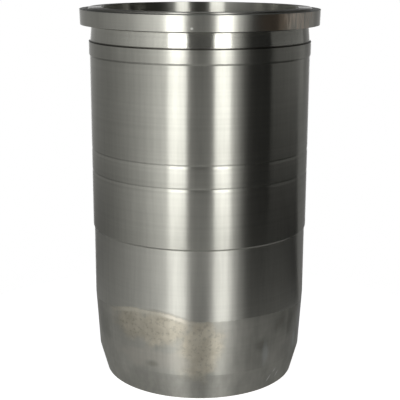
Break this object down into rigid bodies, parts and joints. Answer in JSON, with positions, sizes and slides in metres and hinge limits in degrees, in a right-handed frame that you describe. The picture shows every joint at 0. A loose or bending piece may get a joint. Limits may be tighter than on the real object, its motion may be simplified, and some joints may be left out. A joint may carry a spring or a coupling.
{
  "type": "cylinder liner",
  "caption": "Flanged wet cylinder liner: a turned tube with a collar and sealing lip, a pilot band, a lower land, a tapered foot and a honed bore.",
  "frame": {"origin": "centre of the foot's ring, on the surface that the liner stands on", "axes": "+Z along the bore's axis, from the foot up to the collar and the mouth"},
  "size_m": [0.16, 0.16, 0.252],
  "materials": {
    "turned_iron": "turned and ground, honed in the bore, dull on the taper at the foot"
  },
  "bodies": {
    "root": {"cylinder_liner": "turned_iron"}
  },
  "joints": []
}
